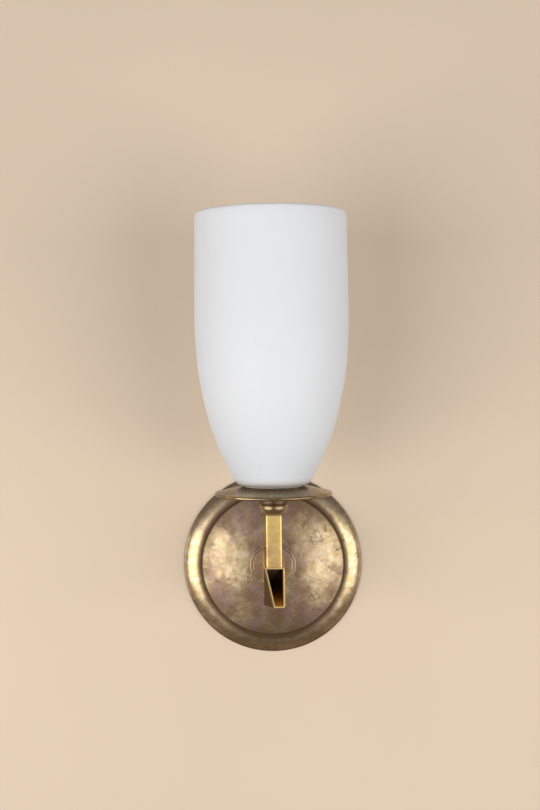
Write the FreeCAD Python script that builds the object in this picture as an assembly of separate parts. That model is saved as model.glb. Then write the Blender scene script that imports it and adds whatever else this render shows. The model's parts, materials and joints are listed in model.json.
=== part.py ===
import FreeCAD, Part
import math
import os

# Wall sconce: a spun brass backplate carries a folded box arm and a square riser.
# A turned collar on the riser holds a domed saucer, a small screw socket and an open opal glass shade.
# The wall is the plane Y = 0 and the object stands out of it along -Y. Up is +Z.
# The origin is the backplate's centre on the wall. Lengths are millimetres.

Vector = FreeCAD.Vector
UP = Vector(0, 0, 1)
OUT = Vector(0, -1, 0)
FULL_TURN = 360

# Driving dimensions: backplate
plate_radius = 57.15
plate_sheet = 0.9
plate_lip_height = 1.0
plate_lip_land = 0.5
band_width = 10.4
band_curve = 14.0
groove_width = 0.8
step_height = 2.0
step_round = 1.2
dome_rise = 4.6

# Driving dimensions: boss between plate and arm
boss_radius = 14.6
boss_base_height = 1.0
boss_step_radius = 12.8
boss_step_height = 1.5
boss_round = 0.6

# Driving dimensions: arm and riser
shade_axis_out = 88.9
arm_width = 11.9
arm_height = 22.8
arm_wall = 0.8
arm_corner = 1.0
arm_overhang = 0.5
folded_side_top_width = 0.35
folded_side_width = 5.4
folded_side_depth = 9.0
riser_width = 9.0
riser_wall = 1.0
riser_corner = 0.8

# Driving dimensions: collar and saucer
collar_bottom_z = 42.5
collar_height = 14.1
collar_flange_step = 0.6
collar_flange_drop = 8.9
collar_waist_step = 0.8
collar_bead_bulge = 0.3
collar_bead_height = 3.2
collar_bead_drop = 11.0
collar_foot_wall = 0.57
collar_recess = 3.0
collar_floor = 2.2
saucer_radius = 33.6
saucer_sheet = 1.0
saucer_rise = 3.3
saucer_seat_margin = 0.2
saucer_bead = 1.1

# Driving dimensions: glass shade
shade_height = 155.2
shade_radius = 44.0
shade_wall = 3.0
shade_floor = 3.5
shade_foot_land = 2.8
shade_foot_round = 3.2
shade_foot_lift = 1.1
shade_floor_round = 1.8
shade_hole_gap = 1.1
shade_rim_round = 1.4
# Outline of the glass, as shares of its height and of the way from its lowest side to its largest radius
shade_outline_shares = (
    (0.034, 0.000),
    (0.121, 0.324),
    (0.210, 0.573),
    (0.298, 0.751),
    (0.386, 0.877),
    (0.474, 0.960),
    (0.605, 1.000),
    (0.800, 0.989),
)
shade_mouth_share = 0.975

# Driving dimensions: threaded nipples, nuts and washers
nipple_radius = 4.85
nipple_bore = 3.2
nipple_rear_reach = 6.0
nipple_in_boss = 2.3
nut_across_flats = 14.0
nut_height = 3.0
washer_radius = 7.6
washer_height = 0.8
tooth_count = 12
tooth_depth = 0.8

# Driving dimensions: crossbar behind the plate
crossbar_end_gap = 3.75
crossbar_end_margin = 1.55
crossbar_width = 18.0
crossbar_sheet = 2.0
crossbar_corner = 4.0
box_slot_width = 4.8
box_slot_length = 12.0
ground_screw_offset = 22.0
ground_screw_radius = 2.4
ground_screw_head_radius = 4.6
ground_screw_head_height = 2.2
ground_screw_slot_width = 1.2
ground_screw_slot_depth = 1.0
ground_screw_rear_reach = 3.0

# Driving dimensions: gaskets and screw ring of the shade
gasket_height = 0.6
gasket_inset = 0.8
ring_gasket_height = 0.8
ring_side_gap = 0.6
ring_flange_width = 1.4
ring_flange_height = 1.8
ring_hub_wall = 2.8
ring_hub_height = 3.6
ring_notch_count = 12
ring_notch_radius = 0.9

# Driving dimensions: lamp socket
sleeve_wall = 1.5
sleeve_height = 33.4
sleeve_lip = 2.4
sleeve_lip_height = 2.0
sleeve_groove_pitch = 2.0
sleeve_groove_depth = 0.35
cap_height = 7.0
cap_recess_gap = 0.82
cap_wall = 3.05
insert_skirt_wall = 1.5
insert_skirt_height = 7.0
insert_floor = 4.6
shell_reach = 12.0
shell_sheet = 0.45
shell_floor_hole = 2.2
contact_width = 3.4
contact_sheet = 0.5
contact_rise = 0.8
contact_half_length = 4.2
terminal_side_gap = 0.85
terminal_width = 4.4
terminal_sheet = 0.8
terminal_length = 5.0
terminal_screw_radius = 1.25
terminal_screw_head_radius = 1.7
terminal_screw_head_height = 1.2
terminal_screw_reach = 2.6

# Driving dimensions: tubular candelabra lamp
lamp_thread_radius = 5.95
lamp_thread_depth = 0.45
lamp_thread_pitch = 2.54
lamp_thread_turns = 4
lamp_plain_collar = 2.6
lamp_base_sheet = 0.3
lamp_button_height = 2.2
lamp_button_radius = 4.4
lamp_tip_radius = 2.0
lamp_tip_height = 0.9
lamp_glass_radius = 12.4
lamp_glass_wall = 0.7
lamp_glass_height = 60.0
lamp_neck_height = 3.0
lamp_shoulder_height = 9.0
lamp_stem_radius = 2.6
lamp_stem_height = 16.0
lamp_stem_wall = 0.6
filament_radius = 0.25
filament_spread = 5.0
filament_rise = 26.0
filament_foot_spread = 1.2

# Driving dimensions: leads
lead_radius = 0.85
lead_gap = 0.2
lead_rear_rise = 1.0
lead_top_run = 14.0
lead_bend_radius = 3.0
lead_turn_radius = 8.0

# Clearances and one overrun for cuts
seat_gap = 0.05
thread_gap = 0.05
running_gap = 0.1
loose_gap = 0.3
overrun = 1.0
shortest_edge = 0.005
parallel_limit = 1e-6

# Radii that follow from the sizes above
nut_corner_radius = nut_across_flats / math.sqrt(3)
cap_recess_radius = nut_corner_radius + cap_recess_gap
sleeve_bore = cap_recess_radius + cap_wall + seat_gap
sleeve_radius = sleeve_bore + sleeve_wall
insert_chamber_radius = sleeve_bore - seat_gap - insert_skirt_wall
terminal_radius_out = insert_chamber_radius - terminal_side_gap - terminal_width / 2
collar_foot_radius = math.sqrt(2) * (riser_width / 2 + seat_gap) + collar_foot_wall
collar_waist_radius = collar_foot_radius + collar_waist_step
collar_bead_radius = collar_waist_radius + collar_bead_bulge
collar_flange_radius = collar_bead_radius + collar_flange_step
ring_hub_radius = sleeve_radius + running_gap + ring_hub_wall
ring_flange_radius = ring_hub_radius + ring_flange_width
shade_hole_radius = sleeve_radius + shade_hole_gap
shade_foot_radius = shade_hole_radius + shade_foot_land
shade_low_radius = ring_flange_radius + ring_side_gap + shade_floor_round + shade_wall
saucer_seat_radius = shade_foot_radius + saucer_seat_margin

# Levels that follow from the sizes above
groove_radius = plate_radius - plate_lip_land - band_width
dome_edge_radius = groove_radius - groove_width
band_drop = band_curve - math.sqrt(band_curve ** 2 - band_width ** 2)
groove_depth = plate_lip_height + band_drop
dome_edge_depth = groove_depth + step_height
dome_flat_radius = dome_edge_radius - step_round
dome_curve = (dome_flat_radius ** 2 + dome_rise ** 2) / (2 * dome_rise)
plate_front = dome_edge_depth + dome_rise
crossbar_length = 2 * (plate_radius - plate_lip_land - plate_sheet - crossbar_end_gap)
box_screw_spacing = crossbar_length - box_slot_length - 2 * crossbar_end_margin
boss_face = plate_front + boss_base_height + boss_step_height
riser_front = shade_axis_out + riser_width / 2
arm_front = riser_front + arm_overhang
arm_top_z = arm_height / 2
collar_top_z = collar_bottom_z + collar_height
saucer_seat_z = collar_top_z + saucer_sheet
shade_foot_z = saucer_seat_z + gasket_height
shade_floor_z = shade_foot_z + shade_floor
shade_top_z = shade_foot_z + shade_height
ring_seat_z = shade_floor_z + ring_gasket_height
washer_top_z = saucer_seat_z + washer_height
sleeve_bottom_z = washer_top_z
sleeve_top_z = sleeve_bottom_z + sleeve_height
cap_floor_z = washer_top_z + nut_height + loose_gap
cap_top_z = sleeve_bottom_z + cap_height
insert_top_z = sleeve_top_z - sleeve_lip_height
insert_floor_z = cap_top_z + insert_skirt_height
shell_floor_z = insert_floor_z + insert_floor
shell_bore = lamp_thread_radius + running_gap
shell_radius = shell_bore + shell_sheet
contact_top_z = shell_floor_z + shell_sheet + contact_sheet + contact_rise
lamp_bottom_z = contact_top_z + seat_gap
lamp_button_z = lamp_bottom_z + lamp_tip_height
lamp_base_z = lamp_button_z + lamp_button_height
lamp_base_height = lamp_thread_turns * lamp_thread_pitch + lamp_plain_collar
lamp_glass_z = lamp_base_z + lamp_base_height
lamp_bore = lamp_thread_radius - lamp_thread_depth - lamp_base_sheet
lamp_neck_radius = lamp_bore - running_gap


# Outlines

def point(radius, height):
    """A point of a turned outline, in the XZ plane beside the Z axis."""
    return Vector(radius, 0, height)


def arc_edge(start, middle, end):
    """An arc through three outline points."""
    return Part.Arc(point(*start), point(*middle), point(*end)).toShape()


def line_edge(start, end):
    """A straight run between two outline points."""
    return Part.LineSegment(point(*start), point(*end)).toShape()


def spline_edge(points):
    """A smooth curve through outline points."""
    curve = Part.BSplineCurve()
    curve.interpolate(Points=[point(*each) for each in points])
    return curve.toShape()


def round_middle(centre, radius, angle):
    """The point of a round at an angle in degrees, from the outline's radius axis."""
    turn = math.radians(angle)
    return (centre[0] + radius * math.cos(turn), centre[1] + radius * math.sin(turn))


def run(points):
    """Straight edges through a list of outline points."""
    return [line_edge(first, second) for first, second in zip(points, points[1:])]


def turned(edges):
    """The solid that a closed outline makes when it turns round the Z axis."""
    face = Part.Face(Part.Wire(Part.__sortEdges__(edges)))
    return face.revolve(Vector(0, 0, 0), UP, FULL_TURN)


def turned_run(points):
    """A turned solid of straight runs, closed back to its first point."""
    return turned(run(list(points) + [points[0]]))


def disc(radius, bottom, height):
    """A round bar that stands on a level of the Z axis."""
    return Part.makeCylinder(radius, height, Vector(0, 0, bottom), UP)


def washer(radius, bore, bottom, height):
    """A flat ring on the Z axis."""
    return disc(radius, bottom, height).cut(disc(bore, bottom - overrun, height + 2 * overrun))


def hexagon(corner, bottom, height):
    """A hexagonal bar on the Z axis, of a radius over its corners."""
    angles = [math.radians(FULL_TURN * index / 6) for index in range(6)]
    corners = [Vector(corner * math.cos(turn), corner * math.sin(turn), bottom) for turn in angles]
    return Part.Face(Part.makePolygon(corners + [corners[0]])).extrude(UP * height)


def block(low, high):
    """A square block between its lowest and highest corners."""
    size = high - low
    return Part.makeBox(size.x, size.y, size.z, low)


def rounded_edges(solid, radius, along):
    """The solid with every edge that runs along a direction rounded."""
    chosen = []
    for edge in solid.Edges:
        direction = edge.Vertexes[-1].Point - edge.Vertexes[0].Point
        if direction.Length > 0 and direction.normalize().cross(along).Length < parallel_limit:
            chosen.append(edge)
    return solid.makeFillet(radius, chosen)


# Placing

def on_wall(solid):
    """Turns a solid made on the Z axis so that it stands out of the wall along -Y."""
    solid.rotate(Vector(0, 0, 0), Vector(1, 0, 0), FULL_TURN / 4)
    return solid


def on_shade_axis(solid):
    """Moves a solid made on the Z axis to the riser's and shade's axis."""
    solid.translate(OUT * shade_axis_out)
    return solid


# Backplate and what fastens it

def dome_depth(radius, skin):
    """Distance of the plate's dome from the wall at a radius, a skin's thickness under its face."""
    curve = dome_curve - skin
    return plate_front - dome_curve + math.sqrt(curve ** 2 - radius ** 2)


def plate_face_edges(skin):
    """The plate's section from its lip to its centre, a skin's thickness under its face."""
    lip_radius = plate_radius - plate_lip_land - skin
    band_centre = (groove_radius, groove_depth - band_curve)
    band_bend = band_curve - skin
    lip_angle = math.degrees(math.acos((lip_radius - groove_radius) / band_bend))
    band_start = round_middle(band_centre, band_bend, lip_angle)
    band_middle = round_middle(band_centre, band_bend, (lip_angle + FULL_TURN / 4) / 2)
    band_end = (groove_radius, groove_depth - skin)
    step_radius = dome_edge_radius - skin
    round_centre = (dome_flat_radius, dome_edge_depth - step_round)
    round_radius = step_round - skin
    round_start = (step_radius, dome_edge_depth - step_round)
    round_mid = round_middle(round_centre, round_radius, FULL_TURN / 8)
    round_end = (dome_flat_radius, dome_edge_depth - skin)
    step_foot = (step_radius, groove_depth - skin)
    dome_start = (dome_flat_radius, dome_depth(dome_flat_radius, skin))
    dome_middle = (dome_flat_radius / 2, dome_depth(dome_flat_radius / 2, skin))
    dome_end = (0, plate_front - skin)
    edges = [
        line_edge((lip_radius, 0), band_start),
        arc_edge(band_start, band_middle, band_end),
        line_edge(band_end, step_foot),
        line_edge(step_foot, round_start),
        arc_edge(round_start, round_mid, round_end),
        arc_edge(dome_start, dome_middle, dome_end),
    ]
    if abs(round_end[1] - dome_start[1]) > shortest_edge:
        edges.append(line_edge(round_end, dome_start))
    return edges + run([dome_end, (0, 0), (lip_radius, 0)])


def backplate():
    """Spun brass plate: a thin lip, a convex band, a groove and a raised shallow dome."""
    lip = disc(plate_radius, 0, plate_lip_height)
    solid = turned(plate_face_edges(0)).fuse(lip)
    hollow = turned(plate_face_edges(plate_sheet))
    centre_hole = disc(nipple_radius + loose_gap, 0, plate_front + overrun)
    return on_wall(solid.cut(hollow).cut(centre_hole).removeSplitter())


def boss():
    """Turned boss on the dome, tapped for the hanger nipple, that the arm is brazed to."""
    rim_depth = dome_depth(boss_radius, 0) + seat_gap
    back_middle = (boss_radius + nipple_radius) / 2
    hole = nipple_radius + thread_gap
    base_top = plate_front + boss_base_height
    outer_round = (boss_radius - boss_round, base_top - boss_round)
    step_round_centre = (boss_step_radius - boss_round, boss_face - boss_round)
    edges = [
        arc_edge(
            (hole, dome_depth(hole, 0) + seat_gap),
            (back_middle, dome_depth(back_middle, 0) + seat_gap),
            (boss_radius, rim_depth),
        ),
        line_edge((boss_radius, rim_depth), (boss_radius, outer_round[1])),
        arc_edge(
            (boss_radius, outer_round[1]),
            round_middle(outer_round, boss_round, FULL_TURN / 8),
            (outer_round[0], base_top),
        ),
        line_edge((outer_round[0], base_top), (boss_step_radius, base_top)),
        line_edge((boss_step_radius, base_top), (boss_step_radius, step_round_centre[1])),
        arc_edge(
            (boss_step_radius, step_round_centre[1]),
            round_middle(step_round_centre, boss_round, FULL_TURN / 8),
            (step_round_centre[0], boss_face),
        ),
        line_edge((step_round_centre[0], boss_face), (hole, boss_face)),
        line_edge((hole, boss_face), (hole, dome_depth(hole, 0) + seat_gap)),
    ]
    return on_wall(turned(edges))


def crossbar():
    """Steel strap behind the plate, with two slots for the wall box's screws."""
    half_length = crossbar_length / 2
    half_width = crossbar_width / 2
    low = Vector(-half_length, -half_width, 0)
    high = Vector(half_length, half_width, crossbar_sheet)
    bar = rounded_edges(block(low, high), crossbar_corner, UP)
    bar = bar.cut(disc(nipple_radius + thread_gap, -overrun, crossbar_sheet + 2 * overrun))
    for side in (-1, 1):
        bar = bar.cut(box_slot(side * box_screw_spacing / 2))
    hole = disc(ground_screw_radius + thread_gap, -overrun, crossbar_sheet + 2 * overrun)
    hole.translate(Vector(ground_screw_offset, 0, 0))
    return on_wall(bar.cut(hole))


def box_slot(centre_x):
    """The cutter of one slot of the crossbar, along X."""
    radius = box_slot_width / 2
    straight = box_slot_length / 2 - radius
    depth = crossbar_sheet + 2 * overrun
    cutter = block(
        Vector(centre_x - straight, -radius, -overrun),
        Vector(centre_x + straight, radius, depth - overrun),
    )
    for side in (-1, 1):
        end = disc(radius, -overrun, depth)
        end.translate(Vector(centre_x + side * straight, 0, 0))
        cutter = cutter.fuse(end)
    return cutter


def ground_screw():
    """Slotted earth screw in the crossbar, with its head inside the plate."""
    head_top = crossbar_sheet + ground_screw_head_height
    head = disc(ground_screw_head_radius, crossbar_sheet, ground_screw_head_height)
    shank_length = crossbar_sheet + ground_screw_rear_reach
    shank = disc(ground_screw_radius, -ground_screw_rear_reach, shank_length)
    reach = ground_screw_head_radius + overrun
    slot = block(
        Vector(-reach, -ground_screw_slot_width / 2, head_top - ground_screw_slot_depth),
        Vector(reach, ground_screw_slot_width / 2, head_top + overrun),
    )
    screw = head.fuse(shank).cut(slot)
    screw.translate(Vector(ground_screw_offset, 0, 0))
    return on_wall(screw)


def hanger_nipple():
    """Hollow threaded nipple from the wall box through the crossbar and plate into the boss."""
    front = plate_front + nipple_in_boss
    return on_wall(washer(nipple_radius, nipple_bore, -nipple_rear_reach, front + nipple_rear_reach))


def hex_nut(bottom):
    """A hexagonal nut for either nipple."""
    hole = disc(nipple_radius + thread_gap, bottom - overrun, nut_height + 2 * overrun)
    return hexagon(nut_corner_radius, bottom, nut_height).cut(hole)


def crossbar_locknut():
    """Nut that locks the hanger nipple in the crossbar."""
    return on_wall(hex_nut(crossbar_sheet))


def plate_washer_level():
    """Distance from the wall of the washer's flat face under the dome."""
    return dome_depth(washer_radius, plate_sheet) - seat_gap - washer_height


def plate_washer():
    """Flat washer under the dome."""
    return on_wall(washer(washer_radius, nipple_radius + thread_gap, plate_washer_level(), washer_height))


def plate_nut():
    """Nut behind the plate that clamps it to the boss."""
    return on_wall(hex_nut(plate_washer_level() - nut_height))


# Arm and riser

def side_cutter(inset):
    """What lies outside the folded-in side of the arm's open end, moved in by an inset."""
    left = -arm_width / 2
    bottom = -arm_height / 2
    top = Vector(left + folded_side_top_width, -arm_front, arm_top_z)
    right = Vector(left + folded_side_width, -arm_front, bottom)
    rear = Vector(left, -arm_front + folded_side_depth, bottom)
    normal = (right - top).cross(rear - top).normalize()
    if normal.dot(Vector(left, -arm_front, bottom) - top) < 0:
        normal = normal * -1
    reach = arm_height + arm_width
    plane = Part.makePlane(2 * reach, 2 * reach)
    plane.translate(Vector(-reach, -reach, 0))
    turn = FreeCAD.Rotation(UP, normal)
    plane.Placement = FreeCAD.Placement(top - normal * inset, turn) * plane.Placement
    return plane.extrude(normal * reach)


def arm():
    """Folded brass box arm with an open front end, the left side of which is folded in, most at the bottom."""
    half = arm_width / 2
    outside = block(Vector(-half, -arm_front, -arm_top_z), Vector(half, -boss_face, arm_top_z))
    outside = rounded_edges(outside, arm_corner, OUT).cut(side_cutter(0))
    inside = block(
        Vector(-half + arm_wall, -arm_front - overrun, -arm_top_z + arm_wall),
        Vector(half - arm_wall, -boss_face + overrun, arm_top_z - arm_wall),
    ).cut(side_cutter(arm_wall))
    bore_half = riser_width / 2 - riser_wall
    wire_hole = block(
        Vector(-bore_half, -shade_axis_out - bore_half, 0),
        Vector(bore_half, -shade_axis_out + bore_half, arm_top_z + overrun),
    )
    return outside.cut(inside).cut(wire_hole)


def square_bar(half, bottom, top):
    """A square bar on the Z axis between two levels."""
    return block(Vector(-half, -half, bottom), Vector(half, half, top))


def riser():
    """Square brass tube that stands on the arm's end and carries the collar."""
    top = collar_bottom_z + collar_recess - seat_gap
    outside = rounded_edges(square_bar(riser_width / 2, arm_top_z, top), riser_corner, UP)
    inside = square_bar(riser_width / 2 - riser_wall, arm_top_z - overrun, top + overrun)
    return on_shade_axis(outside.cut(inside))


# Collar and saucer

def collar():
    """Turned brass collar: a flange under the saucer, a waist, a bead and a square socket for the riser."""
    flange_z = collar_top_z - collar_flange_drop
    bead_z = collar_top_z - collar_bead_drop
    half_bead = collar_bead_height / 2
    outline = [
        line_edge((0, collar_bottom_z), (collar_foot_radius, collar_bottom_z)),
        line_edge((collar_foot_radius, collar_bottom_z), (collar_waist_radius, bead_z - half_bead)),
        arc_edge(
            (collar_waist_radius, bead_z - half_bead),
            (collar_bead_radius, bead_z),
            (collar_waist_radius, bead_z + half_bead),
        ),
        line_edge((collar_waist_radius, bead_z + half_bead), (collar_flange_radius, flange_z)),
    ] + run([
        (collar_flange_radius, flange_z),
        (collar_flange_radius, collar_top_z),
        (0, collar_top_z),
        (0, collar_bottom_z),
    ])
    solid = turned(outline)
    recess_half = riser_width / 2 + seat_gap
    recess_top = collar_bottom_z + collar_recess
    solid = solid.cut(square_bar(recess_half, collar_bottom_z - overrun, recess_top))
    solid = solid.cut(disc(nipple_bore, recess_top - overrun, collar_height))
    tapped = disc(nipple_radius + thread_gap, recess_top + collar_floor, collar_height)
    return on_shade_axis(solid.cut(tapped))


def saucer():
    """Domed brass saucer with a rolled edge, flat in the middle where the glass stands."""
    edge_z = saucer_seat_z - saucer_rise
    bead_centre = (saucer_radius - saucer_bead, edge_z - saucer_bead)
    cone_radius = bead_centre[0]
    hole = nipple_radius + thread_gap
    sheet = turned_run([
        (hole, saucer_seat_z),
        (saucer_seat_radius, saucer_seat_z),
        (cone_radius, edge_z),
        (cone_radius, edge_z - saucer_sheet),
        (saucer_seat_radius, saucer_seat_z - saucer_sheet),
        (hole, saucer_seat_z - saucer_sheet),
    ])
    rolled = Part.makeTorus(bead_centre[0], saucer_bead, Vector(0, 0, bead_centre[1]), UP)
    return on_shade_axis(sheet.fuse(rolled).removeSplitter())


def cup_nipple_bottom():
    """Level of the upper nipple's lower end, on the collar's floor."""
    return collar_bottom_z + collar_recess + collar_floor + seat_gap


def cup_nipple():
    """Hollow threaded nipple from the collar through the saucer into the socket's cap."""
    bottom = cup_nipple_bottom()
    return on_shade_axis(washer(nipple_radius, nipple_bore, bottom, cap_top_z - bottom))


def tooth_washer():
    """Toothed lock washer between the saucer and its nut."""
    solid = washer(washer_radius, nipple_radius + thread_gap, saucer_seat_z, washer_height)
    for index in range(tooth_count):
        notch = disc(tooth_depth, saucer_seat_z - overrun, washer_height + 2 * overrun)
        notch.translate(Vector(washer_radius, 0, 0))
        notch.rotate(Vector(0, 0, 0), UP, FULL_TURN * index / tooth_count)
        solid = solid.cut(notch)
    return on_shade_axis(solid)


def saucer_nut():
    """Nut that clamps the saucer on the collar."""
    return on_shade_axis(hex_nut(washer_top_z))


# Socket

def socket_sleeve():
    """Moulded sleeve of the socket, grooved outside for the screw ring, with a lip at its mouth."""
    solid = washer(sleeve_radius, sleeve_bore, sleeve_bottom_z, sleeve_height)
    lip_z = sleeve_top_z - sleeve_lip_height
    solid = solid.fuse(washer(sleeve_bore + overrun, sleeve_bore - sleeve_lip, lip_z, sleeve_lip_height))
    groove_count = int((sleeve_height - sleeve_lip_height) / sleeve_groove_pitch) - 1
    half = sleeve_groove_pitch / 4
    for index in range(1, groove_count):
        level = sleeve_bottom_z + index * sleeve_groove_pitch
        groove = turned_run([
            (sleeve_radius + overrun, level - half),
            (sleeve_radius + overrun, level + half),
            (sleeve_radius, level + half),
            (sleeve_radius - sleeve_groove_depth, level),
            (sleeve_radius, level - half),
        ])
        solid = solid.cut(groove)
    return on_shade_axis(solid.removeSplitter())


def socket_cap():
    """Moulded cap that closes the sleeve's lower end and screws on the upper nipple."""
    solid = disc(sleeve_bore - seat_gap, sleeve_bottom_z, cap_height)
    recess_height = cap_floor_z - sleeve_bottom_z
    solid = solid.cut(disc(cap_recess_radius, sleeve_bottom_z - overrun, recess_height + overrun))
    return on_shade_axis(solid.cut(disc(nipple_radius + thread_gap, sleeve_bottom_z, cap_height + overrun)))


def socket_insert():
    """Porcelain core of the socket, on a skirt that leaves room for the leads."""
    solid = disc(sleeve_bore - seat_gap, cap_top_z, insert_top_z - cap_top_z)
    chamber = disc(insert_chamber_radius, cap_top_z - overrun, insert_skirt_height + overrun)
    shell_well = disc(shell_radius + seat_gap, shell_floor_z, insert_top_z)
    hole_radius = terminal_screw_radius + seat_gap
    contact_hole = disc(hole_radius, insert_floor_z - overrun, insert_floor + 2 * overrun)
    solid = solid.cut(chamber).cut(shell_well).cut(contact_hole)
    for side in (-1, 1):
        screw_hole = disc(hole_radius, insert_floor_z - overrun, terminal_screw_reach + overrun)
        screw_hole.translate(Vector(side * terminal_radius_out, 0, 0))
        solid = solid.cut(screw_hole)
    return on_shade_axis(solid)


def screw_shell():
    """Rolled nickelled shell that takes the lamp's screw base."""
    reach = shell_sheet + shell_reach
    solid = disc(shell_radius, shell_floor_z, reach)
    solid = solid.cut(disc(shell_bore, shell_floor_z + shell_sheet, reach))
    return on_shade_axis(solid.cut(disc(shell_floor_hole, shell_floor_z - overrun, reach)))


def centre_contact():
    """Sprung brass tongue on a rivet, under the lamp's tip."""
    rivet = disc(terminal_screw_radius, insert_floor_z, insert_floor + shell_sheet + contact_sheet)
    low_z = shell_floor_z + shell_sheet + seat_gap
    high_z = contact_top_z - contact_sheet
    half = contact_width / 2
    tongue_points = [
        (-contact_half_length, low_z),
        (0, low_z),
        (contact_half_length, high_z),
        (contact_half_length, contact_top_z),
        (-shell_floor_hole / 2, contact_top_z),
        (-shell_floor_hole / 2, high_z),
        (contact_half_length / 2, high_z),
        (-contact_sheet, low_z + contact_sheet),
        (-contact_half_length, low_z + contact_sheet),
        (-contact_half_length, low_z),
    ]
    wire = Part.makePolygon([Vector(x, -half, z) for x, z in tongue_points])
    tongue = Part.Face(wire).extrude(Vector(0, contact_width, 0))
    return on_shade_axis(tongue.fuse(rivet).removeSplitter())


def pair_across(make):
    """Two like pieces, one on each side of the axis, as separate solids of one node."""
    solids = []
    for side in (-1, 1):
        solid = make()
        solid.translate(Vector(side * terminal_radius_out, 0, 0))
        solids.append(on_shade_axis(solid))
    return Part.makeCompound(solids)


def terminal_plate():
    """One brass terminal plate under the insert, on the Z axis."""
    top = insert_floor_z
    low = Vector(-terminal_width / 2, -terminal_length / 2, top - terminal_sheet)
    plate = block(low, Vector(terminal_width / 2, terminal_length / 2, top))
    hole_height = terminal_sheet + 2 * overrun
    return plate.cut(disc(terminal_screw_radius + seat_gap, top - terminal_sheet - overrun, hole_height))


def terminal_plates():
    """The two terminal plates."""
    return pair_across(terminal_plate)


def terminal_screw():
    """One terminal screw with its head down, on the Z axis."""
    head_top = insert_floor_z - terminal_sheet
    head_bottom = head_top - terminal_screw_head_height
    head = disc(terminal_screw_head_radius, head_bottom, terminal_screw_head_height)
    shank = disc(terminal_screw_radius, head_top, terminal_sheet + terminal_screw_reach - seat_gap)
    return head.fuse(shank)


def terminal_screws():
    """The two terminal screws."""
    return pair_across(terminal_screw)


# Shade and what holds it

def shade_side(inset):
    """The points of the glass's side from foot to mouth, moved in by an inset."""
    swell = shade_radius - shade_low_radius
    low = shade_low_radius - inset
    points = [
        (low + radius_share * swell, shade_foot_z + height_share * shade_height)
        for height_share, radius_share in shade_outline_shares
    ]
    return points + [(low + shade_mouth_share * swell, shade_top_z - shade_rim_round)]


def shade():
    """Open bullet-shaped shade of opal glass, with a flat ground foot round its hole."""
    outer = shade_side(0)
    inner = shade_side(shade_wall)
    foot_corner = (shade_foot_radius, shade_foot_z)
    knee = (shade_foot_radius + shade_foot_round, shade_foot_z + shade_foot_lift)
    inner_low = inner[0]
    mouth_middle = ((outer[-1][0] + inner[-1][0]) / 2, shade_top_z)
    edges = [
        line_edge((shade_hole_radius, shade_foot_z), foot_corner),
        arc_edge(foot_corner, knee, outer[0]),
        spline_edge(outer),
        arc_edge(outer[-1], mouth_middle, inner[-1]),
        spline_edge(inner),
    ] + run([
        inner_low,
        (inner_low[0] - shade_floor_round, shade_floor_z),
        (shade_hole_radius, shade_floor_z),
        (shade_hole_radius, shade_foot_z),
    ])
    return on_shade_axis(turned(edges))


def foot_gasket():
    """Thin felt washer between the saucer and the glass."""
    return on_shade_axis(
        washer(shade_foot_radius - gasket_inset, shade_hole_radius, saucer_seat_z, gasket_height)
    )


def ring_gasket():
    """Rubber washer between the glass's floor and the screw ring."""
    outer = ring_flange_radius - gasket_inset
    return on_shade_axis(washer(outer, shade_hole_radius, shade_floor_z, ring_gasket_height))


def screw_ring():
    """Moulded ring on the socket's grooved sleeve that holds the shade down."""
    bore = sleeve_radius + running_gap
    solid = washer(ring_flange_radius, bore, ring_seat_z, ring_flange_height)
    hub = washer(ring_hub_radius, bore, ring_seat_z, ring_flange_height + ring_hub_height)
    solid = solid.fuse(hub)
    for index in range(ring_notch_count):
        notch = disc(ring_notch_radius, ring_seat_z + ring_flange_height, ring_hub_height + overrun)
        notch.translate(Vector(ring_hub_radius, 0, 0))
        notch.rotate(Vector(0, 0, 0), UP, FULL_TURN * index / ring_notch_count)
        solid = solid.cut(notch)
    return on_shade_axis(solid.removeSplitter())


# Lamp

def lamp_base():
    """Screw base of the lamp, rolled in rings of the thread's pitch, open at both ends."""
    root = lamp_thread_radius - lamp_thread_depth
    outline = [(0, lamp_base_z), (lamp_button_radius, lamp_base_z)]
    for index in range(lamp_thread_turns):
        level = lamp_base_z + index * lamp_thread_pitch
        outline.append((root, level + lamp_thread_pitch / 4))
        outline.append((lamp_thread_radius, level + 3 * lamp_thread_pitch / 4))
    outline += [
        (root, lamp_glass_z - lamp_plain_collar + lamp_thread_pitch / 4),
        (lamp_thread_radius, lamp_glass_z - lamp_plain_collar / 2),
        (lamp_thread_radius, lamp_glass_z),
        (0, lamp_glass_z),
    ]
    solid = turned_run(outline).cut(disc(lamp_bore, lamp_base_z + lamp_thread_pitch / 4, lamp_base_height))
    return on_shade_axis(solid.cut(disc(lamp_tip_radius, lamp_base_z - overrun, lamp_base_height)))


def lamp_button():
    """Black glass insulator under the lamp's screw base."""
    return on_shade_axis(turned_run([
        (0, lamp_button_z),
        (lamp_tip_radius, lamp_button_z),
        (lamp_button_radius, lamp_base_z),
        (0, lamp_base_z),
    ]))


def lamp_tip():
    """Solder contact at the lamp's lower end."""
    return on_shade_axis(disc(lamp_tip_radius, lamp_bottom_z, lamp_tip_height))


def envelope(inset, low):
    """The lamp's envelope as a full solid from a level up, moved in by an inset."""
    radius = lamp_glass_radius - inset
    neck = lamp_neck_radius - inset
    shoulder = lamp_glass_z + lamp_shoulder_height
    dome = lamp_glass_z + lamp_glass_height - lamp_glass_radius
    bend = ((radius + neck) / 2, (shoulder + lamp_glass_z) / 2)
    crown = round_middle((0, dome), radius, FULL_TURN / 8)
    side = run([(0, low), (neck, low), (neck, lamp_glass_z), bend, (radius, shoulder), (radius, dome)])
    cap = arc_edge((radius, dome), crown, (0, dome + radius))
    return turned(side + [cap, line_edge((0, dome + radius), (0, low))])


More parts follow.
